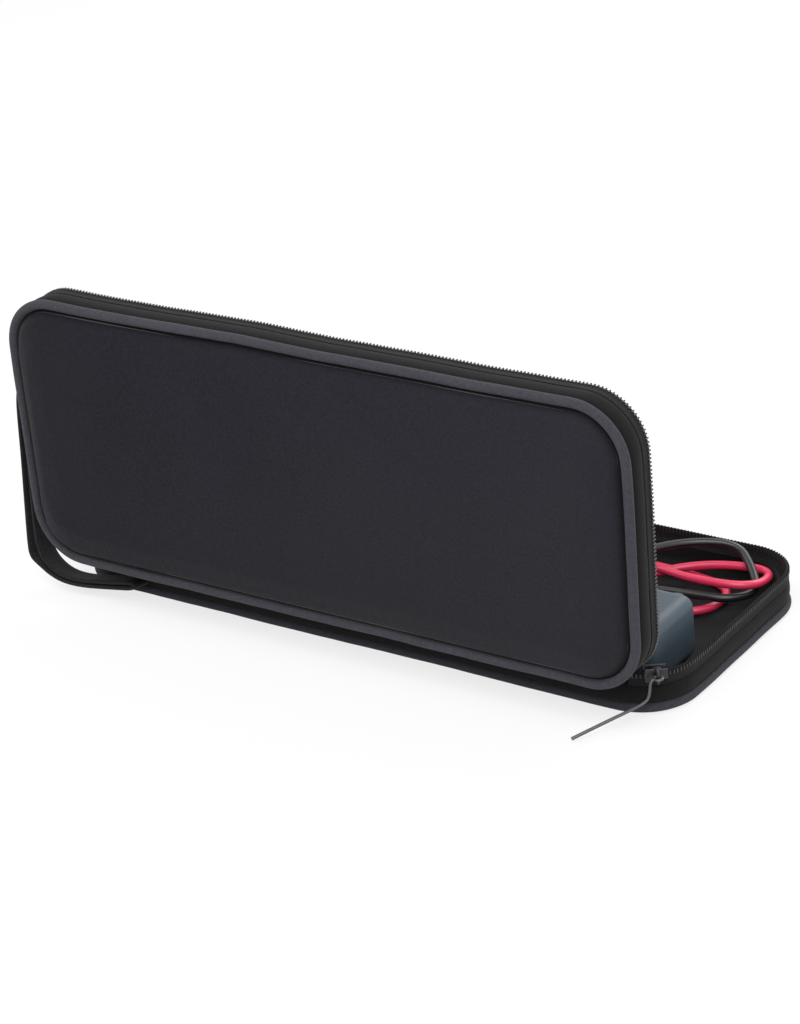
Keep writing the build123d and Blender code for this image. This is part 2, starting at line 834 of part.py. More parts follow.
def cross_round(y, radius, width, mode=Mode.ADD):
    """A cylinder on the clip's pivot axis."""
    with BuildSketch(Plane(origin=(pin_x, y, pin_z), x_dir=(1, 0, 0), z_dir=(0, -1, 0))) as outline:
        Circle(radius)
    extrude(outline.sketch, amount=width / 2, both=True, mode=mode)


def clip(y, colour):
    """An alligator clip with its jaws towards -X and its sleeve on the lead's side."""
    mouth_x = clip_tail_x - clip_l
    low = clip_low
    with BuildPart() as fixed:
        clip_profile(y, [(mouth_x, low + 2.2), (mouth_x + 1, low), (clip_tail_x - 2, low),
                         (clip_tail_x - 2, low + sheet_t), (mouth_x + 12, low + sheet_t),
                         (mouth_x + 11, low + 2.6), (mouth_x + 9.6, low + 1.4), (mouth_x + 8, low + 2.6),
                         (mouth_x + 6.4, low + 1.4), (mouth_x + 4.8, low + 2.6), (mouth_x + 3.2, low + 1.4),
                         (mouth_x + 1.6, low + 3.0)], clip_w)
        for s in (-1, 1):
            ear_y = y + s * (clip_w / 2 - sheet_t / 2)
            clip_profile(ear_y, [(pin_x - 6, low), (pin_x + 6, low), (pin_x + 2.4, pin_z + 2.2),
                                 (pin_x - 2.4, pin_z + 2.2)], sheet_t)
        cross_round(y, pin_r + 0.05, clip_w + 2, Mode.SUBTRACT)
    keep(fixed, f"{colour}_clip_lower_jaw")

    inner_w = clip_w - 2 * sheet_t - 0.4
    with BuildPart() as moving:
        clip_profile(y, [(mouth_x, low + 3.8), (mouth_x + 1.6, low + 3.4), (mouth_x + 3.2, low + 4.6),
                         (mouth_x + 4.8, low + 3.4), (mouth_x + 6.4, low + 4.6), (mouth_x + 8, low + 3.4),
                         (mouth_x + 9.6, low + 4.6), (mouth_x + 11, low + 3.6), (mouth_x + 12, low + 4.6),
                         (pin_x, pin_z - 1.8), (pin_x + 3, pin_z + 0.2), (clip_tail_x - 4, pin_z + 8.2),
                         (clip_tail_x - 4, pin_z + 9.2), (pin_x + 1, pin_z + 2.2), (pin_x - 3, pin_z + 1.6),
                         (mouth_x + 2, low + 5.6)], inner_w)
        cross_round(y, jaw_r, inner_w)
        cross_round(y, pin_r + 0.05, clip_w + 2, Mode.SUBTRACT)
    keep(moving, f"{colour}_clip_upper_jaw")

    with BuildPart() as pin:
        cross_round(y, pin_r, clip_w + 1.0)
    keep(pin, f"{colour}_clip_pin")

    with BuildPart() as boot:
        boot_start = (clip_tail_x - boot_l, y, low + boot_h / 2)
        with BuildSketch(Plane(origin=boot_start, x_dir=(0, 1, 0), z_dir=(1, 0, 0))):
            RectangleRounded(clip_w + 2 * boot_wall, boot_h, boot_wall + 0.4)
        extrude(amount=boot_l - 2)
        slot_start = (clip_tail_x - boot_l - 1, y, low + sheet_t / 2)
        with BuildSketch(Plane(origin=slot_start, x_dir=(0, 1, 0), z_dir=(1, 0, 0))):
            Rectangle(clip_w + 0.1, sheet_t + 0.1)
        extrude(amount=boot_l - 0.9, mode=Mode.SUBTRACT)
        end_hole(clip_tail_x - 2, y, clip_lead_z, 2.0, lead_r + 0.6, Mode.ADD)
    keep(boot, f"{colour}_clip_sleeve")


def main():
    case_half(base_plane, "base")
    case_half(lid_plane, "lid")
    spine_fold()
    zip_slider()
    zip_pull()
    wrist_strap()
    toner_back_shell()
    toner_front_shell()
    toner_door()
    toner_switch()
    toner_inside()
    probe_bottom_shell()
    probe_top_shell()
    probe_nose_tip()
    probe_controls()
    probe_fittings()
    battery("probe", cell_x, probe_y, probe_low + probe_wall + cell_rise)
    for y, route, colour, clip_y in (
        (red_y, red_route, "red", red_clip_y),
        (black_y, black_route, "black", black_clip_y),
    ):
        strain_relief(y, f"{colour}_strain_relief")
        lead(route, f"{colour}_lead")
        clip(clip_y, colour)
    print(len(finished), "nodes")


main()
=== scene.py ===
"""Visual model of the tone and probe kit: the soft case, its zip and strap, the leads and the tools."""

import json
from math import atan2, cos, pi, radians, sin, sqrt

import bmesh
import bpy
from mathutils import Matrix, Vector, noise

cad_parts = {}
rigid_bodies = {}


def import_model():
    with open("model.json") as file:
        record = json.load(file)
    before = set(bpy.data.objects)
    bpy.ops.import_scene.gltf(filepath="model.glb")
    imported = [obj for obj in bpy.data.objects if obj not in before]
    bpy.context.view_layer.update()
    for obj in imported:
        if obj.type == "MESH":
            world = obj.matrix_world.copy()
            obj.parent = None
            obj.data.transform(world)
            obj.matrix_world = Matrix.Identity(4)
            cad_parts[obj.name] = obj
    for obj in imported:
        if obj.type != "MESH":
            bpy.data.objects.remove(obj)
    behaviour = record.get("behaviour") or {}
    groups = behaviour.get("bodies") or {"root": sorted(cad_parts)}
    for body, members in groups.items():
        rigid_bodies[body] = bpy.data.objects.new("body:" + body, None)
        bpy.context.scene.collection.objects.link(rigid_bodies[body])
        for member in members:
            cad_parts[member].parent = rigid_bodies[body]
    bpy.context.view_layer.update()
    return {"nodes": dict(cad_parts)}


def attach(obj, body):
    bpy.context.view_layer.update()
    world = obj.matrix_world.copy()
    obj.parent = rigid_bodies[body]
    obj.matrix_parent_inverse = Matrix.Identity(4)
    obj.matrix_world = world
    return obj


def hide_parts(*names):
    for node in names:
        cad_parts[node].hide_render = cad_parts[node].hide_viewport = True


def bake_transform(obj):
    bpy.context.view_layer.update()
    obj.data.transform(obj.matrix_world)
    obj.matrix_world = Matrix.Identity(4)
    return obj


for spare in list(bpy.data.objects):
    bpy.data.objects.remove(spare)
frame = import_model()
nodes = frame["nodes"]
MM = 0.001

# The case's own sizes, in metres.
HALF_W = 0.140
HALF_D = 0.057
HALF_H = 0.018
CORNER = 0.0225
HINGE_OUT = 0.0574
LID_OUT = HINGE_OUT + HALF_H
LID_TURN = Matrix(((-1, 0, 0, 0), (0, 0, 1, -LID_OUT), (0, 1, 0, LID_OUT), (0, 0, 0, 1)))
ZIP_END = 0.1224
ARC_STEPS = 12


# ---------------------------------------------------------------- camera, light and floor
def camera():
    turn, rise, roll = radians(36.026), radians(25.531), radians(-5.115)
    back = Vector((sin(turn) * cos(rise), -cos(turn) * cos(rise), sin(rise)))
    right = (-back).cross(Vector((0, 0, 1))).normalized()
    up = right.cross(-back)
    right, up = right * cos(roll) + up * sin(roll), up * cos(roll) - right * sin(roll)
    place = Vector((-0.063094, 0.069366, -0.010931)) + back * 1.30116
    data = bpy.data.cameras.new("camera")
    data.lens = 106.376
    data.sensor_width = 36
    data.clip_end = 20
    eye = bpy.data.objects.new("camera", data)
    bpy.context.collection.objects.link(eye)
    turned = Matrix((right, up, back)).transposed().to_4x4()
    eye.matrix_world = Matrix.Translation(place) @ turned
    bpy.context.scene.camera = eye


def soft_light(name, place, aim, size, power):
    data = bpy.data.lights.new(name, "AREA")
    data.shape = "RECTANGLE"
    data.size, data.size_y = size
    data.energy = power
    lamp = bpy.data.objects.new(name, data)
    bpy.context.collection.objects.link(lamp)
    lamp.location = place
    lamp.rotation_euler = (Vector(aim) - Vector(place)).to_track_quat("-Z", "Y").to_euler()


# ---------------------------------------------------------------- materials
class Wire:
    """A node socket that Python arithmetic can use; each operation adds a Math node."""

    def __init__(self, finish, socket):
        self.finish = finish
        self.socket = socket

    def __add__(self, other):
        return self.finish.maths("ADD", self, other)

    def __sub__(self, other):
        return self.finish.maths("SUBTRACT", self, other)

    def __mul__(self, other):
        return self.finish.maths("MULTIPLY", self, other)

    def __gt__(self, other):
        return self.finish.maths("GREATER_THAN", self, other)

    def __abs__(self):
        return self.finish.maths("ABSOLUTE", self, 0)


class Finish:
    """A material whose nodes are added by name, with one Principled shader at its end."""

    def __init__(self, name, roughness=0.8, metallic=0.0, specular=0.5, sheen=0.0, coat=0.0):
        self.material = bpy.data.materials.new(name)
        self.material.use_nodes = True
        self.tree = self.material.node_tree
        self.shader = self.tree.nodes["Principled BSDF"]
        numbers = {"Roughness": roughness, "Metallic": metallic, "Specular IOR Level": specular,
                   "Sheen Weight": sheen, "Coat Weight": coat}
        for socket, number in numbers.items():
            self.shader.inputs[socket].default_value = number
        self.shader.inputs["Sheen Roughness"].default_value = 0.45

    def add(self, kind, settings=None, **sockets):
        node = self.tree.nodes.new(kind)
        for key, value in (settings or {}).items():
            setattr(node, key, value)
        for key, value in sockets.items():
            number = key[1:] if key[0] == "n" and key[1:].isdigit() else None
            self.join(value, node.inputs[int(number) if number else key.replace("_", " ")])
        return node

    def join(self, value, socket):
        if isinstance(value, Wire):
            self.tree.links.new(value.socket, socket)
        elif hasattr(value, "is_output"):
            self.tree.links.new(value, socket)
        else:
            socket.default_value = value

    def maths(self, operation, a, b):
        node = self.add("ShaderNodeMath", {"operation": operation}, n0=a, n1=b)
        return Wire(self, node.outputs[0])

    def sine(self, a):
        return self.maths("SINE", a, 0)

    def clamp(self, a):
        node = self.add("ShaderNodeClamp", None, Value=a)
        return Wire(self, node.outputs[0])

    def place(self):
        """Object coordinates, whole and split."""
        coords = self.add("ShaderNodeTexCoord").outputs["Object"]
        split = self.add("ShaderNodeSeparateXYZ", None, Vector=coords)
        return coords, [Wire(self, split.outputs[i]) for i in range(3)]

    def along(self):
        """The piece's own map: metres along it and across it."""
        coords = self.add("ShaderNodeUVMap", {"uv_map": "run"}).outputs["UV"]
        split = self.add("ShaderNodeSeparateXYZ", None, Vector=coords)
        return coords, [Wire(self, split.outputs[i]) for i in range(2)]

    def clouds(self, coords, scale, detail=3.0):
        node = self.add("ShaderNodeTexNoise", None, Vector=coords, Scale=scale, Detail=detail)
        return Wire(self, node.outputs[0])

    def tint(self, factor, dark, light):
        node = self.add("ShaderNodeMix", {"data_type": "RGBA"}, n0=factor, n6=(*dark, 1), n7=(*light, 1))
        return node.outputs[2]

    def blend_tints(self, factor, one, two):
        node = self.add("ShaderNodeMix", {"data_type": "RGBA"}, n0=factor, n6=one, n7=two)
        return node.outputs[2]

    def set(self, **sockets):
        for key, value in sockets.items():
            self.join(value, self.shader.inputs[key.replace("_", " ")])
        return self.material

    def bump(self, height, depth, strength=1.0):
        node = self.add("ShaderNodeBump", None, Height=height, Distance=depth, Strength=strength)
        self.join(node.outputs[0], self.shader.inputs["Normal"])


CLOTH_RELIEF = 0.12 * MM
TAPE_RELIEF = 0.16 * MM
STITCH_PITCH = 2.6 * MM
STITCH_HALF = 0.28 * MM
# Colour of the painted shade along the panels' seams, beside the piping.
PAINTED_SEAM_SHADE = (0.0012, 0.0012, 0.0014, 1)


def weave(finish, a, b, pitch):
    """Height of a plain weave, 0 to 1."""
    turn = 2 * pi / pitch
    return finish.sine(a * turn) * finish.sine(b * turn) * 0.5 + 0.5


def cloth(name, dark, light, axes=None, pitch=0.8 * MM, roughness=0.86, specular=0.1, slant=False,
          painted_shading=False):
    """Woven cloth with lint; axes picks object axes, otherwise the piece's own map.
    The last flag adds random grey fading, a painted sheen that lightens the panels towards +x, and painted
    shade along their seam."""
    finish = Finish(name, roughness=roughness, sheen=0.05, specular=specular)
    coords, parts = finish.place() if axes else finish.along()
    a, b = (parts[axes[0]], parts[axes[1]]) if axes else parts
    if slant:
        a, b = a + b, a - b
    fine = weave(finish, a, b, pitch)
    space = coords if axes else finish.place()[0]
    slubs = finish.clouds(space, 900.0, 2.0)
    patches = finish.clouds(space, 28.0, 3.0)
    tone = finish.clamp(fine * 0.35 + slubs * 0.75 + patches * 0.45 - 0.35)
    finish.bump(fine * 0.6 + slubs * 0.9, CLOTH_RELIEF)
    worn = finish.clamp(patches * 0.25 + roughness - 0.1)
    if painted_shading:
        # Painted sheen: the panels' colour lightens steadily towards +x, the right-hand side.
        tone = finish.clamp(tone + parts[0] * 1.6 + 0.06)
    colour = finish.tint(tone, dark, light)
    if painted_shading:
        faded = finish.clamp(finish.clouds(space, 7.0, 1.0) * 2.4 - 0.75)
        grey = sum(light) / 3 * 0.8
        colour = finish.blend_tints(faded * 0.45, colour, (grey, grey, grey, 1))
        # Painted shade: the cloth's colour darkens along the panel's seam, where the groove beside the piping
        # is in shade.
        seam = finish.add("ShaderNodeAttribute", {"attribute_name": "painted_shading"})
        painted_shade_share = Wire(finish, seam.outputs["Fac"])
        colour = finish.blend_tints(finish.clamp(painted_shade_share * 0.92), colour, PAINTED_SEAM_SHADE)
    return finish.set(Base_Color=colour, Roughness=worn)


def ribbed_tape(name, dark, light, stitch_rows, pitch=0.75 * MM):
    """Zip tape and webbing: slanted ribs, with a row of stitches at each place across the piece's own map."""
    finish = Finish(name, roughness=0.82, sheen=0.04, specular=0.15)
    a, b = finish.along()[1]
    zig = abs(finish.maths("PINGPONG", b, 1.2 * MM))
    ribs = finish.sine((a + zig) * (2 * pi / pitch)) * 0.5 + 0.5
    dash = finish.sine(a * (2 * pi / STITCH_PITCH)) > -0.5
    stitches = dash * 0
    for row in stitch_rows:
        stitches = stitches + finish.maths("LESS_THAN", abs(b - row), STITCH_HALF) * dash
    slubs = finish.clouds(finish.place()[0], 700.0, 2.0)
    tone = finish.clamp(finish.clamp(ribs * 0.4 + slubs * 0.9 - 0.25) + stitches * 0.5)
    finish.bump(ribs * 0.5 + stitches * 1.6 + slubs * 0.5, TAPE_RELIEF)
    return finish.set(Base_Color=finish.tint(tone, dark, light), Roughness=finish.clamp(slubs * 0.2 + 0.72))


def plastic(name, dark, light, grain=2200.0, roughness=0.5, coat=0.0):
    """Moulded plastic or rubber with a spark-eroded grain and faint handling marks."""
    finish = Finish(name, roughness=roughness, coat=coat)
    coords = finish.place()[0]
    pits = finish.clouds(coords, grain, 2.0)
    marks = finish.clouds(coords, 60.0, 5.0)
    finish.bump(pits, 0.03 * MM)
    tone = finish.clamp(pits * 0.3 + marks * 0.9 - 0.1)
    worn = finish.clamp(marks * 0.3 + roughness - 0.15)
    return finish.set(Base_Color=finish.tint(tone, dark, light), Roughness=worn)


def metal(name, dark, light, roughness, metallic=1.0):
    """Metal with fine drawn lines along X and slight tarnish."""
    finish = Finish(name, roughness=roughness, metallic=metallic)
    coords = finish.place()[0]
    stretch = finish.add("ShaderNodeMapping", None, Vector=coords, Scale=(1.0, 12.0, 12.0)).outputs[0]
    lines = finish.clouds(stretch, 500.0, 2.0)
    marks = finish.clouds(coords, 140.0, 4.0)
    finish.bump(lines * 0.6 + marks * 0.3, 0.02 * MM)
    tone = finish.clamp(lines * 0.4 + marks * 0.7)
    worn = finish.clamp(marks * 0.35 + roughness - 0.1)
    return finish.set(Base_Color=finish.tint(tone, dark, light), Roughness=worn)


def seen_directly(tree):
    """1 where the camera, a reflection or a glass sees the surface."""
    path = tree.nodes.new("ShaderNodeLightPath")
    total = tree.nodes.new("ShaderNodeMath")
    total.operation = "MAXIMUM"
    tree.links.new(path.outputs["Is Camera Ray"], total.inputs[0])
    tree.links.new(path.outputs["Is Glossy Ray"], total.inputs[1])
    both = tree.nodes.new("ShaderNodeMath")
    both.operation = "MAXIMUM"
    tree.links.new(total.outputs[0], both.inputs[0])
    tree.links.new(path.outputs["Is Transmission Ray"], both.inputs[1])
    return both.outputs[0]


def studio():
    """White surroundings, a pale floor that keeps a soft shadow, and three soft lights."""
    world = bpy.data.worlds.new("studio")
    bpy.context.scene.world = world
    world.use_nodes = True
    tree = world.node_tree
    back = tree.nodes["Background"]
    back.inputs["Color"].default_value = (1, 1, 1, 1)
    level = tree.nodes.new("ShaderNodeMapRange")
    level.inputs["To Min"].default_value = 0.5
    level.inputs["To Max"].default_value = 1.0
    tree.links.new(seen_directly(tree), level.inputs["Value"])
    tree.links.new(level.outputs[0], back.inputs["Strength"])
    soft_light("key", (0.5, -0.9, 1.3), (0, 0, 0.05), (1.2, 1.2), 22)
    soft_light("fill", (-1.1, -0.5, 0.9), (0, 0, 0.05), (1.0, 1.0), 7)
    soft_light("back", (0.3, 1.2, 1.1), (0, 0, 0.05), (1.2, 0.8), 12)

    bpy.ops.mesh.primitive_plane_add(size=12, location=(0, 0, -0.0002))
    floor = bpy.context.object
    floor.name = "floor"
    paint = bpy.data.materials.new("floor")
    paint.use_nodes = True
    tree = paint.node_tree
    tree.nodes.clear()
    matt = tree.nodes.new("ShaderNodeBsdfDiffuse")
    matt.inputs["Color"].default_value = (0.86, 0.86, 0.86, 1)
    glow = tree.nodes.new("ShaderNodeEmission")
    mix = tree.nodes.new("ShaderNodeMixShader")
    share = tree.nodes.new("ShaderNodeMath")
    share.operation = "MULTIPLY"
    share.inputs[1].default_value = 0.75
    tree.links.new(seen_directly(tree), share.inputs[0])
    tree.links.new(share.outputs[0], mix.inputs[0])
    tree.links.new(matt.outputs[0], mix.inputs[1])
    tree.links.new(glow.outputs[0], mix.inputs[2])
    out = tree.nodes.new("ShaderNodeOutputMaterial")
    tree.links.new(mix.outputs[0], out.inputs["Surface"])
    floor.data.materials.append(paint)
    bpy.context.scene.view_settings.view_transform = "Standard"


camera()
studio()

PANEL_TONES = (0.0052, 0.0048, 0.0076), (0.0205, 0.0192, 0.0290)
EDGE_TONES = (0.019, 0.019, 0.0245), (0.060, 0.060, 0.073)
GUSSET_TONES = (0.0045, 0.0045, 0.0048), (0.0135, 0.0135, 0.014)
LINING_TONES = (0.004, 0.004, 0.0045), (0.013, 0.013, 0.014)
FLAT, UPRIGHT = (0, 1), (0, 2)
WEBBING_HALF_W, WEBBING_HALF_T = 4.5 * MM, 0.7 * MM
WEBBING_STITCH = 3.2 * MM
TAPE_STITCH = 12.6 * MM

finishes = {
    "lid_cloth": cloth("lid_cloth", *PANEL_TONES, axes=UPRIGHT, pitch=1.0 * MM, painted_shading=True),
    "base_cloth": cloth("base_cloth", *PANEL_TONES, axes=FLAT, pitch=1.0 * MM, painted_shading=True),
    "edge_cloth": cloth("edge_cloth", *EDGE_TONES, slant=True, specular=0.25),
    "gusset_cloth": cloth("gusset_cloth", *GUSSET_TONES),
    "spine_cloth": cloth("spine_cloth", *GUSSET_TONES, axes=UPRIGHT),
    "lining_cloth": cloth("lining_cloth", *LINING_TONES, axes=FLAT, pitch=0.5 * MM, roughness=0.7),
    "lid_lining_cloth": cloth("lid_lining_cloth", *LINING_TONES, axes=UPRIGHT, pitch=0.5 * MM, roughness=0.7),
    "zip_tape": ribbed_tape("zip_tape", (0.0055, 0.0055, 0.006), (0.021, 0.021, 0.022), (TAPE_STITCH,)),
    "webbing": ribbed_tape("webbing", (0.006, 0.006, 0.007), (0.022, 0.022, 0.024),
                           (-WEBBING_STITCH, WEBBING_STITCH), pitch=1.1 * MM),
    "zip_coil": plastic("zip_coil", (0.010, 0.010, 0.011), (0.034, 0.034, 0.036), roughness=0.42),
    "dark_metal": metal("dark_metal", (0.022, 0.022, 0.024), (0.07, 0.07, 0.075), 0.36, metallic=0.8),
    "pull_metal": metal("pull_metal", (0.065, 0.065, 0.07), (0.14, 0.14, 0.15), 0.34, metallic=0.6),
    "blue_grey": plastic("blue_grey", (0.040, 0.060, 0.078), (0.062, 0.090, 0.114)),
    "black_plastic": plastic("black_plastic", (0.014, 0.014, 0.015), (0.032, 0.032, 0.034), roughness=0.45),
    "plate": plastic("plate", (0.030, 0.036, 0.044), (0.046, 0.054, 0.064), grain=900.0, roughness=0.6),
    "red_rubber": plastic("red_rubber", (0.60, 0.020, 0.075), (0.80, 0.040, 0.120), grain=500.0,
                          roughness=0.36, coat=0.1),
    "black_rubber": plastic("black_rubber", (0.006, 0.006, 0.0065), (0.016, 0.016, 0.017), grain=500.0,
                            roughness=0.34),
    "button_red": plastic("button_red", (0.34, 0.02, 0.02), (0.48, 0.04, 0.04), roughness=0.55),
    "lens_red": plastic("lens_red", (0.30, 0.004, 0.004), (0.50, 0.012, 0.012), grain=200.0,
                        roughness=0.12, coat=0.6),
    "steel": metal("steel", (0.42, 0.42, 0.43), (0.66, 0.66, 0.67), 0.3),
    "board_green": plastic("board_green", (0.01, 0.10, 0.035), (0.02, 0.17, 0.06),
                           grain=300.0, roughness=0.35),
    "battery_wrap": plastic("battery_wrap", (0.03, 0.03, 0.034), (0.09, 0.09, 0.1),
                            grain=120.0, roughness=0.3),
}


# ---------------------------------------------------------------- the leads and the strap come first
def spline(name, route):
    """One smooth open line through the neighbourhood of the route's points, in metres."""
    data = bpy.data.curves.new(name, "CURVE")
    data.dimensions = "3D"
    data.resolution_u = 10
    line = data.splines.new("NURBS")
    line.points.add(len(route) - 1)
    for point, place in zip(line.points, route):
        point.co = (place[0] * MM, place[1] * MM, place[2] * MM, 1)
    line.order_u = 3
    line.use_endpoint_u = True
    piece = bpy.data.objects.new(name, data)
    bpy.context.collection.objects.link(piece)
    return piece


RED_ROUTE = [
    (-48, 31, 14), (-36, 31, 14), (-18, 31, 9.4), (8, 30, 6.2), (38, 30.5, 6.4),
    (66, 32, 9.5), (87, 27, 14.8), (107, 21.5, 15.6), (132.5, 26.5, 15), (128.5, 49.5, 11),
    (106, 46, 11), (88, 36, 9.4), (79, 24, 7), (84, 11, 6), (100, 9, 6.1),
    (117, 17, 6), (117, 37, 6), (94, 42, 6.1), (64, 42.5, 6), (40, 42, 6.2),
    (26, 42, 7), (14, 42, 7),
]
BLACK_ROUTE = [
    (-48, 11, 14), (-36, 11, 14), (-18, 11, 9.4), (8, 12, 6.2), (34, 12.5, 6.6),
    (58, 14, 12), (80, 23, 20.5), (94, 41, 20.5), (112, 49.5, 19.5), (122, 43, 14),
    (129.5, 33, 9.6), (123, 21.5, 10.3), (108, 18.5, 10.9), (88, 13, 12.3), (66, 4, 7.2),
    (42, -2.5, 6.2), (26, -2, 7), (14, -2, 7),
]
STRAP_ROUTE = [
    (-139.8, -66.4, 92), (-142.2, -66.4, 90), (-143.9, -66.4, 82), (-145.2, -66.4, 62),
    (-146.8, -66.4, 44), (-148.2, -66.2, 30), (-149.2, -66, 20), (-149.4, -65.8, 13.4),
    (-145.2, -65.7, 10), (-140, -65.6, 6.4), (-134, -65.4, 4.5), (-126, -65.1, 4.2),
    (-116, -64.4, 5.2), (-106, -63.8, 6.6), (-99.5, -63.6, 7.6), (-97.2, -63.5, 9.2),
    (-99.5, -63.6, 10.4), (-106, -63.8, 9.0), (-116, -64.4, 7.6), (-125, -65.1, 6.6),
    (-132.5, -65.4, 6.8), (-138, -65.6, 8.9), (-142.2, -65.8, 12.6), (-144.2, -66.2, 18),
    (-144.6, -66.3, 26), (-143.6, -66.4, 42), (-142.2, -66.4, 60), (-141.4, -66.4, 74),
    (-139.8, -66.4, 82),
]
STRAP_LEAN = [0] * 7 + [-4, -8] + [-10] * 13 + [-8, -4] + [0] * 5
LEAD_R = 1.7 * MM


def lead(colour, route):
    """A test lead: a smooth soft tube from its strain relief to its clip."""
    tube = spline(f"{colour}_test_lead", route)
    tube.data.bevel_depth = LEAD_R
    tube.data.bevel_resolution = 4
    tube.data.use_fill_caps = True
    tube.data.materials.append(finishes[f"{colour}_rubber"])
    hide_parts(f"{colour}_lead")
    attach(tube, "toner")


def points_of(route):
    """The places along a route's smooth line."""
    line = spline("guide", route)
    mesh = bpy.data.meshes.new_from_object(line)
    places = [v.co.copy() for v in mesh.vertices]
    bpy.data.objects.remove(line)
    bpy.data.meshes.remove(mesh)
    return places


def lean_at(share):
    """How far the webbing is tipped about its own line, at a share of its length."""
    place = share * (len(STRAP_LEAN) - 1)
    low = min(int(place), len(STRAP_LEAN) - 2)
    return radians(STRAP_LEAN[low] + (STRAP_LEAN[low + 1] - STRAP_LEAN[low]) * (place - low))


def flat_strap():
    """The wrist strap: flat webbing with softened edges, both ends sewn to the lid's short side."""
    centres = points_of(STRAP_ROUTE)
    half_w, half_t = WEBBING_HALF_W, WEBBING_HALF_T
    face = [(-1, -0.5), (-0.93, -1), (-0.5, -1), (0, -1), (0.5, -1), (0.93, -1), (1, -0.5)]
    section = [(half_w * a, b) for a, b in face] + [(-half_w * a, -b) for a, b in face]
    build = bmesh.new()
    run_map = build.loops.layers.uv.new("run")
    rows = []
    travel = 0.0
    for k, centre in enumerate(centres):
        ahead = centres[min(k + 1, len(centres) - 1)] - centres[max(k - 1, 0)]
        ahead.normalize()
        lean = lean_at(k / (len(centres) - 1))
        across = Vector((0, cos(lean), sin(lean)))
        out = ahead.cross(across).normalized()
        across = out.cross(ahead).normalized()
        if k:
            travel += (centre - centres[k - 1]).length
        row = [build.verts.new(centre + across * a + out * (b * half_t)) for a, b in section]
        rows.append((travel, row))
    count = len(section)
    for (s0, low), (s1, high) in zip(rows, rows[1:]):
        for i in range(count):
            j = (i + 1) % count
            face = build.faces.new((low[i], low[j], high[j], high[i]))
            for loop, (s, c) in zip(face.loops, ((s0, i), (s0, j), (s1, j), (s1, i))):
                loop[run_map].uv = (s, section[c][0])
    build.faces.new(reversed(rows[0][1]))
    build.faces.new(rows[-1][1])
    bmesh.ops.recalc_face_normals(build, faces=build.faces)
    mesh = bpy.data.meshes.new("wrist_webbing")
    build.to_mesh(mesh)
    build.free()
    strap = bpy.data.objects.new("wrist_webbing", mesh)
    bpy.context.collection.objects.link(strap)
    for face in mesh.polygons:
        face.use_smooth = True
    mesh.materials.append(finishes["webbing"])
    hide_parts("wrist_strap")
    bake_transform(strap)


lead("red", RED_ROUTE)
lead("black", BLACK_ROUTE)
flat_strap()


# ---------------------------------------------------------------- modelling helpers
def fresh():
    """Leaves edit mode with nothing selected."""
    if bpy.context.object and bpy.context.object.mode != "OBJECT":
        bpy.ops.object.mode_set(mode="OBJECT")
    bpy.ops.object.select_all(action="DESELECT")


def alone(piece):
    fresh()
    piece.select_set(True)
    bpy.context.view_layer.objects.active = piece


def settle(piece, name, finish, smooth=40):
    """Names a piece, applies its place and modifiers, smooths it and gives it its finish."""
    alone(piece)
    piece.name = name
    piece.data.name = name
    bpy.ops.object.transform_apply(location=True, rotation=True, scale=True)
    for modifier in list(piece.modifiers):
        bpy.ops.object.modifier_apply(modifier=modifier.name)
    bpy.ops.object.shade_smooth_by_angle(angle=radians(smooth))
    piece.data.materials.clear()
    piece.data.materials.append(finishes[finish])
    return piece


def soften(piece):
    """Adds one level of subdivision, for settle to apply."""
    soft = piece.modifiers.new("soft", "SUBSURF")
    soft.levels = 1
    soft.render_levels = 1


def turn_outward(piece):
    """Turns every face of a piece to the outside."""
    alone(piece)
    bpy.ops.object.mode_set(mode="EDIT")
    bpy.ops.mesh.select_all(action="SELECT")
    bpy.ops.mesh.normals_make_consistent(inside=False)
    bpy.ops.object.mode_set(mode="OBJECT")


def pick(piece, test, kind):
    """In edit mode, selects only the faces, edges or vertices that pass their test."""
    mesh = bmesh.from_edit_mesh(piece.data)
    bpy.ops.mesh.select_all(action="DESELECT")
    bpy.context.tool_settings.mesh_select_mode = (kind == "VERT", kind == "EDGE", kind == "FACE")
    if kind == "FACE":
        for face in mesh.faces:
            face.select_set(test(face.calc_center_median(), face))
    elif kind == "EDGE":
        for edge in mesh.edges:
            edge.select_set(test((edge.verts[0].co + edge.verts[1].co) / 2, edge))
    else:
        for vert in mesh.verts:
            if test(vert.co, vert):
                vert.select_set(True)
    mesh.select_flush_mode()
    bmesh.update_edit_mesh(piece.data)


LONG_RUN = 0.02
RUN_CUTS = (44, 14)


def hoop(inset, height):
    """An edge loop of the case's outline, inset and at a height, with its long runs divided."""
    fresh()
    bpy.ops.mesh.primitive_plane_add(size=1, location=(0, 0, height))
    piece = bpy.context.object
    piece.scale = (2 * (HALF_W - inset), 2 * (HALF_D - inset), 1)
    bpy.ops.object.transform_apply(location=True, rotation=True, scale=True)
    bpy.ops.object.mode_set(mode="EDIT")
    bpy.ops.mesh.select_all(action="SELECT")
    bpy.ops.mesh.bevel(offset=CORNER - inset, segments=ARC_STEPS, affect="VERTICES", offset_type="OFFSET")
    pick(piece, lambda c, f: True, "FACE")
    bpy.ops.mesh.delete(type="ONLY_FACE")
    for axis, cut in enumerate(RUN_CUTS):
        pick(piece, lambda c, e: abs(e.verts[0].co[axis] - e.verts[1].co[axis]) > LONG_RUN, "EDGE")
        bpy.ops.mesh.subdivide(number_cuts=cut)
    bpy.ops.object.mode_set(mode="OBJECT")
    return piece


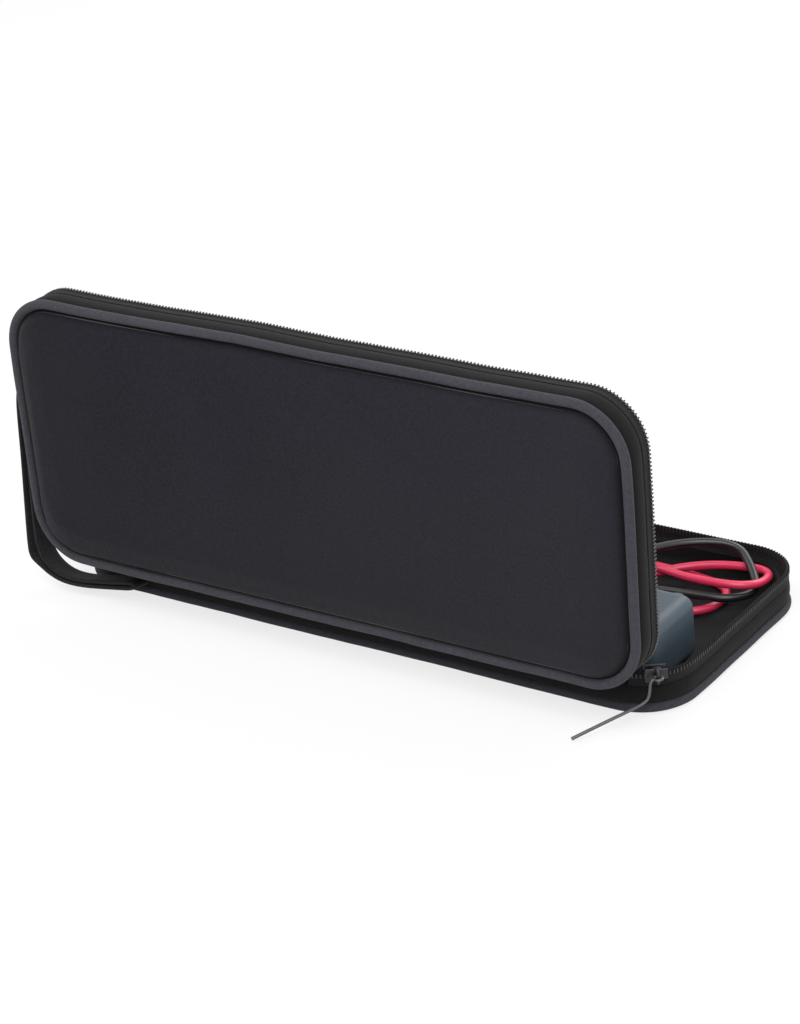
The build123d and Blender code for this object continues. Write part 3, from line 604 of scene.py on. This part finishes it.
def loft(profile, closed=False, opened=False):
    """Hoops at each (inset, height) of a profile, bridged in turn; opened leaves out the spine side."""
    hoops = [hoop(inset * MM, height * MM) for inset, height in profile]
    build = bmesh.new()
    run_map = build.loops.layers.uv.new("run")
    rows = []
    for piece in hoops:
        places = [v.co.copy() for v in piece.data.vertices]
        places.sort(key=lambda c: atan2(c.y, c.x))
        rows.append([build.verts.new(c) for c in places])
        bpy.data.objects.remove(piece)
    across = [0.0]
    for (i0, h0), (i1, h1) in zip(profile, profile[1:]):
        across.append(across[-1] + sqrt((i1 - i0) ** 2 + (h1 - h0) ** 2) * MM)
    pairs = list(zip(range(len(rows)), range(1, len(rows))))
    if closed:
        pairs.append((len(rows) - 1, 0))
        across.append(across[-1] + 0.5 * MM)
    count = len(rows[0])
    around = [0.0]
    for a, b in zip(rows[0], rows[0][1:] + rows[0][:1]):
        around.append(around[-1] + (b.co - a.co).length)
    for low, high in pairs:
        top = high if high else len(rows)
        for i in range(count):
            j = (i + 1) % count
            corners = (rows[low][i], rows[low][j], rows[high][j], rows[high][i])
            middle = sum((v.co for v in corners), Vector()) / 4
            if opened and middle.y < 0 and abs(middle.x) < ZIP_END:
                continue
            face = build.faces.new(corners)
            values = ((around[i], across[low]), (around[i + 1], across[low]),
                      (around[i + 1], across[top]), (around[i], across[top]))
            for loop, value in zip(face.loops, values):
                loop[run_map].uv = value
    loose = [v for v in build.verts if not v.link_faces]
    bmesh.ops.delete(build, geom=loose, context="VERTS")
    mesh = bpy.data.meshes.new("loft")
    build.to_mesh(mesh)
    build.free()
    piece = bpy.data.objects.new("loft", mesh)
    bpy.context.collection.objects.link(piece)
    alone(piece)
    bpy.ops.object.mode_set(mode="EDIT")
    bpy.ops.mesh.select_all(action="SELECT")
    if opened and closed:
        bpy.context.tool_settings.mesh_select_mode = (False, True, False)
        bpy.ops.mesh.select_all(action="DESELECT")
        bpy.ops.mesh.select_non_manifold()
        bpy.ops.mesh.edge_face_add()
        bpy.ops.mesh.select_all(action="SELECT")
    bpy.ops.mesh.normals_make_consistent(inside=False)
    bpy.ops.object.mode_set(mode="OBJECT")
    return piece


def unevenness(place, side):
    """How far the sewn cloth strays in the panel's own plane, the same for all cloths of one half."""
    seed = 11.0 if side == "lid" else 47.0
    wide = noise.noise(Vector((place.x * 16 + seed, place.y * 16, 3.1)))
    small = noise.noise(Vector((place.x * 55, place.y * 55 + seed, 7.7)))
    amount = (0.75 * wide + 0.22 * small) * MM
    outward = Vector((place.x / HALF_W, place.y / HALF_D, 0))
    outward = Vector((outward.x ** 7, outward.y ** 7, 0))
    if outward.length < 1e-6:
        return Vector()
    return outward.normalized() * amount


def sew(piece, side, rough=0.0):
    """Moves a piece of one half by the half's unevenness, then puts the lid's pieces in their place."""
    for vert in piece.data.vertices:
        shift = unevenness(vert.co, side)
        lump = rough * MM * noise.noise(vert.co * 90 + Vector((5, 9, 2 if side == "lid" else 6)))
        vert.co += shift + Vector((0, 0, lump))
    if side == "lid":
        piece.data.transform(LID_TURN)
    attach(piece, side)
    return piece


# ---------------------------------------------------------------- the case's cloth
def circle_profile(centre, radius, steps):
    return [(centre[0] + radius * cos(2 * pi * k / steps), centre[1] + radius * sin(2 * pi * k / steps))
            for k in range(steps)]


def edging(side):
    """The cloth-covered piping cord."""
    piece = loft(circle_profile((2.0, 2.0), 1.95, 12), closed=True)
    soften(piece)
    settle(piece, f"{side}_edging", "edge_cloth", 60)
    sew(piece, side, 0.12)
    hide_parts(f"{side}_piping")


def gusset(side):
    """The side strip: foam-backed cloth that bellies between its two seams."""
    profile = [(1.9, 3.6), (1.3, 4.3), (0.75, 5.4), (0.5, 7.2), (0.55, 9.2), (0.85, 10.8), (1.25, 11.6),
               (1.5, 12.05), (3.4, 12.05), (3.9, 11.2), (4.0, 8.0), (4.0, 4.4)]
    piece = loft(profile, closed=True)
    soften(piece)
    settle(piece, f"{side}_gusset", "gusset_cloth", 60)
    sew(piece, side, 0.2)
    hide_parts(f"{side}_side_wall")


def tape(side):
    """The zip tape, with a rolled seam at its foot and the coil's bead at its lip."""
    profile = [(0.95, 11.7), (0.8, 12.2), (0.95, 12.7), (1.05, 13.2), (1.0, 14.4), (1.1, 15.2), (1.15, 16.6),
               (1.5, 16.95), (1.85, 16.6), (1.9, 15.2), (2.0, 13.4), (2.0, 11.7)]
    piece = loft(profile, closed=True, opened=True)
    settle(piece, f"{side}_tape", "zip_tape", 50)
    sew(piece, side)
    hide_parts(f"{side}_zip_tape")


TOOTH_R = 0.34 * MM
TOOTH_REACH = 0.7 * MM
TOOTH_FOOT = 14.9 * MM
TOOTH_H = 1.75 * MM
TOOTH_PITCH = 1.5 * MM
TEETH_INSET = 1.5 * MM


def one_tooth():
    """One turn of the coil: a bar up, over the tape's lip and down the other side."""
    fresh()
    bpy.ops.mesh.primitive_circle_add(vertices=6, radius=TOOTH_R, fill_type="NGON",
                                      location=(TOOTH_REACH, 0, TOOTH_FOOT))
    tooth = bpy.context.object
    bpy.ops.object.transform_apply(location=True, rotation=True, scale=True)
    bpy.ops.object.mode_set(mode="EDIT")
    bpy.ops.mesh.select_all(action="SELECT")
    bpy.ops.mesh.extrude_region_move(TRANSFORM_OT_translate={"value": (0, 0, TOOTH_H)})
    bpy.ops.mesh.spin(steps=4, angle=pi, center=(0, 0, TOOTH_FOOT + TOOTH_H), axis=(0, -1, 0))
    bpy.ops.mesh.extrude_region_move(TRANSFORM_OT_translate={"value": (0, 0, -TOOTH_H)})
    bpy.ops.mesh.select_all(action="SELECT")
    bpy.ops.mesh.remove_doubles(threshold=0.00001)
    bpy.ops.mesh.normals_make_consistent(inside=False)
    bpy.ops.object.mode_set(mode="OBJECT")
    return tooth


def teeth(side):
    """The coil's teeth, copied along the three zipped sides."""
    pattern = one_tooth()
    guide = hoop(TEETH_INSET, 0)
    places = [v.co.copy() for v in guide.data.vertices]
    bpy.data.objects.remove(guide)
    places = [p for p in places if not (p.y < 0 and abs(p.x) < ZIP_END)]
    places.sort(key=lambda c: (atan2(c.y, c.x) + pi / 2) % (2 * pi))
    build = bmesh.new()
    travel = TOOTH_PITCH / 2 if side == "lid" else 0.0
    walked = 0.0
    for a, b in zip(places, places[1:]):
        step = (b - a).length
        while travel <= walked + step:
            centre = a.lerp(b, (travel - walked) / step)
            ahead = (b - a).normalized()
            out = Vector((ahead.y, -ahead.x, 0))
            turned = Matrix((out, ahead, Vector((0, 0, 1)))).transposed().to_4x4()
            mesh = pattern.data.copy()
            mesh.transform(Matrix.Translation(centre) @ turned)
            build.from_mesh(mesh)
            bpy.data.meshes.remove(mesh)
            travel += TOOTH_PITCH
        walked += step
    mesh = bpy.data.meshes.new("teeth")
    build.to_mesh(mesh)
    build.free()
    bpy.data.objects.remove(pattern)
    piece = bpy.data.objects.new("teeth", mesh)
    bpy.context.collection.objects.link(piece)
    settle(piece, f"{side}_teeth", "zip_coil", 70)
    sew(piece, side)
    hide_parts(f"{side}_zip_chain")


def rounded_grid(inset, columns, rows):
    """A level sheet of the case's outline, its grid eased round the corners."""
    fresh()
    bpy.ops.mesh.primitive_grid_add(x_subdivisions=columns, y_subdivisions=rows, size=2)
    sheet = bpy.context.object
    half_w, half_d, r = HALF_W - inset, HALF_D - inset, CORNER - inset
    for vert in sheet.data.vertices:
        x, y = vert.co.x * half_w, vert.co.y * half_d
        a, b = (abs(x) - half_w + r) / r, (abs(y) - half_d + r) / r
        if a > 0 and b > 0:
            x = (half_w - r + r * a * sqrt(1 - b * b / 2)) * (1 if x > 0 else -1)
            y = (half_d - r + r * b * sqrt(1 - a * a / 2)) * (1 if y > 0 else -1)
        vert.co = (x, y, 0)
    return sheet


def edge_share(place, inset, reach=18 * MM):
    """0 at the sheet's edge, 1 from that reach inside it."""
    x, y = abs(place.x), abs(place.y)
    half_w, half_d, r = HALF_W - inset, HALF_D - inset, CORNER - inset
    if x > half_w - r and y > half_d - r:
        gap = r - sqrt((x - half_w + r) ** 2 + (y - half_d + r) ** 2)
    else:
        gap = min(half_w - x, half_d - y)
    share = min(max(gap / reach, 0), 1)
    return share * share * (3 - 2 * share)


PANEL_INSET = 3.3 * MM
PANEL_THICK = 0.9 * MM
SAG_LIMIT = 3.0 * MM
SEAM_REACH = 4.6 * MM
SEAM_DEPTH = 2.5
CROWN = 1.5


def hang(sheet):
    """Lets a sheet that is held by its edge go slack, and keeps the shape it takes."""
    mesh = sheet.data
    held = sheet.vertex_groups.new(name="held")
    for vert in mesh.vertices:
        held.add([vert.index], 1.0 if edge_share(vert.co, PANEL_INSET) < 0.02 else 0.0, "REPLACE")
    flat = [v.co.copy() for v in mesh.vertices]
    alone(sheet)
    drape = sheet.modifiers.new("drape", "CLOTH")
    drape.settings.quality = 6
    drape.settings.mass = 0.3
    drape.settings.tension_stiffness = 40
    drape.settings.compression_stiffness = 40
    drape.settings.bending_stiffness = 8
    drape.settings.vertex_group_mass = "held"
    drape.settings.shrink_min = -0.006
    drape.point_cache.frame_end = 20
    for step in range(1, 21):
        bpy.context.scene.frame_set(step)
    shaped = sheet.evaluated_get(bpy.context.evaluated_depsgraph_get())
    hung = [v.co.copy() for v in shaped.data.vertices]
    sheet.modifiers.clear()
    sheet.vertex_groups.clear()
    bpy.context.scene.frame_set(1)
    for vert, start, end in zip(mesh.vertices, flat, hung):
        move = end - start
        vert.co = start + (move.normalized() * min(move.length, SAG_LIMIT) if move.length > 0 else move)


def panel(side):
    """The foam-backed outer panel: slack, crowned and dented, with a dip and painted shade along its seam."""
    sheet = rounded_grid(PANEL_INSET, 180, 72)
    mesh = sheet.data
    if side == "lid":
        hang(sheet)
    for vert in mesh.vertices:
        share = edge_share(vert.co, PANEL_INSET)
        dents = noise.noise(vert.co * 24 + Vector((3, 8, 1))) * 0.45 + noise.noise(vert.co * 70) * 0.12
        low = (-CROWN - dents) * share if side == "lid" else abs(dents) * 0.3 * share
        seam = edge_share(vert.co, PANEL_INSET, SEAM_REACH)
        vert.co.z += (0.1 + SEAM_DEPTH * (1 - seam) + low) * MM
    # Painted shade mask: 1 at the panel's seam, fading to 0 a few millimetres inside, used to darken the
    # cloth's colour there.
    painted_shading = mesh.attributes.new("painted_shading", "FLOAT", "POINT")
    for vert, cell in zip(mesh.vertices, painted_shading.data):
        cell.value = max(0, 1 - edge_share(vert.co, PANEL_INSET, 4.4 * MM) * 1.25)
    wall = sheet.modifiers.new("wall", "SOLIDIFY")
    wall.thickness = PANEL_THICK
    wall.offset = 1
    settle(sheet, f"{side}_panel_cloth", f"{side}_cloth", 80)
    turn_outward(sheet)
    sew(sheet, side)
    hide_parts(f"{side}_panel")


def tub(side):
    """The lining: a soft-cornered floor and low wall with a bound lip."""
    profile = [(4.25, 4.0), (4.2, 7.0), (4.25, 11.0), (4.1, 11.9), (4.5, 12.2), (4.95, 11.9), (5.0, 11.0),
               (5.05, 7.0), (5.3, 5.2), (6.2, 4.2), (8.0, 3.9), (20.0, 3.85)]
    piece = loft(profile)
    alone(piece)
    bpy.ops.object.mode_set(mode="EDIT")
    pick(piece, lambda c, e: e.is_boundary and c.z < 3.9 * MM, "EDGE")
    bpy.ops.mesh.edge_face_add()
    pick(piece, lambda c, e: e.is_boundary, "EDGE")
    bpy.ops.mesh.extrude_edges_move(TRANSFORM_OT_translate={"value": (0, 0, -0.8 * MM)})
    bpy.ops.mesh.edge_face_add()
    bpy.ops.mesh.select_all(action="SELECT")
    bpy.ops.mesh.normals_make_consistent(inside=False)
    bpy.ops.object.mode_set(mode="OBJECT")
    settle(piece, f"{side}_tub", "lining_cloth" if side == "base" else "lid_lining_cloth", 50)
    sew(piece, side)
    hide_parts(f"{side}_lining")


def spine():
    """The one cloth that joins the two halves and folds on the hinge line."""
    fresh()
    bpy.ops.mesh.primitive_grid_add(x_subdivisions=60, y_subdivisions=20, size=1)
    sheet = bpy.context.object
    half = 0.1185
    fold = [(-0.0566, 0.0118), (-0.05655, 0.0150), (-0.0567, 0.0168), (-0.0575, 0.0184), (-0.0590, 0.0190),
            (-0.0610, 0.0189), (-0.0640, 0.0190)]
    lengths = [0.0]
    for a, b in zip(fold, fold[1:]):
        lengths.append(lengths[-1] + sqrt((b[0] - a[0]) ** 2 + (b[1] - a[1]) ** 2))
    for vert in sheet.data.vertices:
        along = (vert.co.y + 0.5) * lengths[-1]
        k = max(i for i in range(len(fold) - 1) if lengths[i] <= along + 1e-9)
        share = (along - lengths[k]) / (lengths[k + 1] - lengths[k])
        y = fold[k][0] + (fold[k + 1][0] - fold[k][0]) * share
        z = fold[k][1] + (fold[k + 1][1] - fold[k][1]) * share
        x = vert.co.x * 2 * half
        ripple = noise.noise(Vector((x * 40, along * 90, 2.2))) * 0.25 * MM
        vert.co = (x, y + ripple, z + ripple)
    wall = sheet.modifiers.new("wall", "SOLIDIFY")
    wall.thickness = 0.8 * MM
    wall.offset = 0
    soften(sheet)
    settle(sheet, "spine_cloth", "spine_cloth", 80)
    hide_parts("base_spine_flap", "lid_spine_flap", "spine_fold")
    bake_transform(sheet)


# ---------------------------------------------------------------- the zip's slider and pull
CORNER_AT = Vector((0.1175, -0.0345, 0))
SLIDER_TURN = radians(-48)
BAIL_R = 25.9 * MM
PULL_TURN = radians(-124)


def block(size, place, soft, steps=3):
    """A box of a size at a place with its edges rounded."""
    fresh()
    bpy.ops.mesh.primitive_cube_add(size=1, location=place)
    piece = bpy.context.object
    piece.scale = size
    bpy.ops.object.transform_apply(location=True, rotation=True, scale=True)
    bpy.ops.object.mode_set(mode="EDIT")
    bpy.ops.mesh.select_all(action="SELECT")
    bpy.ops.mesh.bevel(offset=soft, segments=steps, affect="EDGES")
    bpy.ops.object.mode_set(mode="OBJECT")
    return piece


def join(pieces, name, finish, smooth=40):
    fresh()
    for piece in pieces:
        piece.select_set(True)
    bpy.context.view_layer.objects.active = pieces[0]
    bpy.ops.object.join()
    return settle(bpy.context.object, name, finish, smooth)


def wire(route, radius, sizes=None):
    """A round wire on a smooth line, as a closed mesh; sizes swell or thin it at each point."""
    line = spline("wire", route)
    line.data.bevel_depth = radius
    line.data.bevel_resolution = 3
    line.data.use_fill_caps = True
    for point, size in zip(line.data.splines[0].points, sizes or []):
        point.radius = size
    alone(line)
    bpy.ops.object.convert(target="MESH")
    return bpy.context.object


def slider_shell():
    """The slider: two cushioned plates, its throat wall and the staple that holds the pull."""
    plates = []
    for radial, thick in ((22.85, 1.1), (19.15, 1.0)):
        plate = block((8.6 * MM, thick * MM, 5.6 * MM), (0, radial * MM, 16.5 * MM), 0.45 * MM)
        bpy.ops.object.mode_set(mode="EDIT")
        pick(plate, lambda c, v: c.x > 3.2 * MM, "VERT")
        bpy.ops.transform.resize(value=(1, 1, 0.72))
        bpy.ops.object.mode_set(mode="OBJECT")
        plates.append(plate)
    plates.append(block((3.0 * MM, 4.2 * MM, 0.5 * MM), (0.6 * MM, 21.0 * MM, 18.0 * MM), 0.12 * MM, 2))
    staple = [(0, 22.9, 14.5), (0, 25.2, 14.4), (0, 26.1, 14.6), (0, 26.1, 16.6), (0, 26.1, 18.6),
              (0, 25.2, 18.9), (0, 22.9, 18.8)]
    plates.append(wire(staple, 0.62 * MM))
    piece = join(plates, "slider_shell", "dark_metal")
    ahead = Vector((-sin(SLIDER_TURN), cos(SLIDER_TURN), 0))
    out = Vector((cos(SLIDER_TURN), sin(SLIDER_TURN), 0))
    turned = Matrix((ahead, out, Vector((0, 0, 1)))).transposed().to_4x4()
    piece.data.transform(Matrix.Translation(CORNER_AT) @ turned)
    turn_outward(piece)
    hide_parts("zip_slider")
    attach(piece, "slider")


def pull_wire():
    """The pull: a wire eye on the staple, a drop, and a long thin tail with a swollen tip."""
    fresh()
    bpy.ops.mesh.primitive_torus_add(major_radius=1.65 * MM, minor_radius=0.5 * MM, major_segments=28,
                                     minor_segments=10, location=(0, 0, 16.6 * MM))
    eye = bpy.context.object
    eye.data.uv_layers.remove(eye.data.uv_layers[0])
    route = [(1.7, 0, 16.6), (2.9, 0, 16.5), (3.4, 0, 14.5), (3.7, 0, 11.5), (4.6, 0, 9.0), (7.4, 0, 7.6),
             (12, 0, 6.6), (24, 0, 4.2), (35.5, 0, 1.7)]
    tail = wire(route, 0.55 * MM, (0.9, 1, 1, 1, 1, 1.05, 1.15, 1.2, 1.25))
    piece = join([eye, tail], "pull_wire", "pull_metal", 60)
    bail = CORNER_AT + Vector((cos(SLIDER_TURN), sin(SLIDER_TURN), 0)) * BAIL_R
    piece.data.transform(Matrix.Translation(bail) @ Matrix.Rotation(PULL_TURN, 4, "Z"))
    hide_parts("zip_pull")
    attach(piece, "pull")


# ---------------------------------------------------------------- details of the tools, in millimetres
TOOL_TOP = 30.1
TONER_Y, TONER_HALF = 20, 27.0
PROBE_Y, PROBE_HALF = -29.0, 18.0
RIB_STEP = (3.0, 0, 0)


def badge(name, body, size, x, y, corner):
    """A thin blank plate with round corners and a softened rim, on a top face."""
    fresh()
    bpy.ops.mesh.primitive_plane_add(size=1, location=(x * MM, y * MM, (TOOL_TOP - 0.1) * MM))
    piece = bpy.context.object
    piece.scale = (size[0] * MM, size[1] * MM, 1)
    bpy.ops.object.transform_apply(location=True, rotation=True, scale=True)
    bpy.ops.object.mode_set(mode="EDIT")
    bpy.ops.mesh.select_all(action="SELECT")
    bpy.ops.mesh.bevel(offset=corner * MM, segments=6, affect="VERTICES")
    bpy.ops.mesh.select_all(action="SELECT")
    bpy.ops.mesh.extrude_region_move(TRANSFORM_OT_translate={"value": (0, 0, 0.35 * MM)})
    bpy.ops.mesh.bevel(offset=0.15 * MM, segments=2, affect="EDGES")
    bpy.ops.object.mode_set(mode="OBJECT")
    turn_outward(piece)
    settle(piece, name, "plate")
    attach(piece, body)


def ribs(name, body, size, first, count):
    """A row of small rounded grip ribs, one modelled and the rest copied from it."""
    one = block(tuple(v * MM for v in size), tuple(v * MM for v in first), 0.3 * min(size) * MM, 2)
    row = [one]
    for k in range(1, count):
        twin = one.copy()
        twin.data = one.data.copy()
        twin.data.transform(Matrix.Translation(Vector(RIB_STEP) * (k * MM)))
        bpy.context.collection.objects.link(twin)
        row.append(twin)
    piece = join(row, name, "black_plastic")
    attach(piece, body)


def tool_details():
    """Blank label plates on the tools' tops and grip ribs on their sides."""
    badge("toner_label", "toner", (17, 34), -107.5, TONER_Y, 2.5)
    badge("toner_lamp_plate", "toner", (27, 11), -81.5, 3.5, 1.5)
    badge("probe_label", "probe", (24, 20), 71, PROBE_Y, 2.5)
    for s, word in ((-1, "front"), (1, "rear")):
        ribs(f"toner_grip_{word}", "toner", (1.2, 1.0, 14), (-104, TONER_Y + s * TONER_HALF, 17.1), 10)
        ribs(f"probe_grip_{word}", "probe", (1.2, 1.0, 13), (48, PROBE_Y + s * PROBE_HALF, 17.1), 12)


for side in ("base", "lid"):
    panel(side)
    edging(side)
    gusset(side)
    tape(side)
    teeth(side)
    tub(side)
spine()
slider_shell()
pull_wire()
tool_details()

# ---------------------------------------------------------------- finishes of the CAD nodes that stay
kept = {
    "black_plastic": ["base_stiffener_board", "lid_stiffener_board", "toner_line_jack", "toner_switch_knob",
                      "toner_battery_snap", "probe_battery_snap", "probe_tip", "probe_volume_wheel",
                      "probe_speaker"],
    "blue_grey": ["toner_back_shell", "toner_front_shell", "toner_battery_door", "probe_bottom_shell",
                  "probe_top_shell", "probe_battery_door"],
    "red_rubber": ["red_strain_relief", "red_clip_sleeve"],
    "black_rubber": ["black_strain_relief", "black_clip_sleeve"],
    "button_red": ["probe_button"],
    "lens_red": ["toner_lamps", "probe_lamp"],
    "steel": ["toner_screws", "probe_screws"] + [f"{colour}_clip_{part}" for colour in ("red", "black")
                                                 for part in ("lower_jaw", "upper_jaw", "pin")],
    "board_green": ["toner_circuit_board", "probe_circuit_board"],
    "battery_wrap": ["toner_battery", "probe_battery"],
}
for finish, names in kept.items():
    for name in names:
        nodes[name].data.materials.clear()
        nodes[name].data.materials.append(finishes[finish])
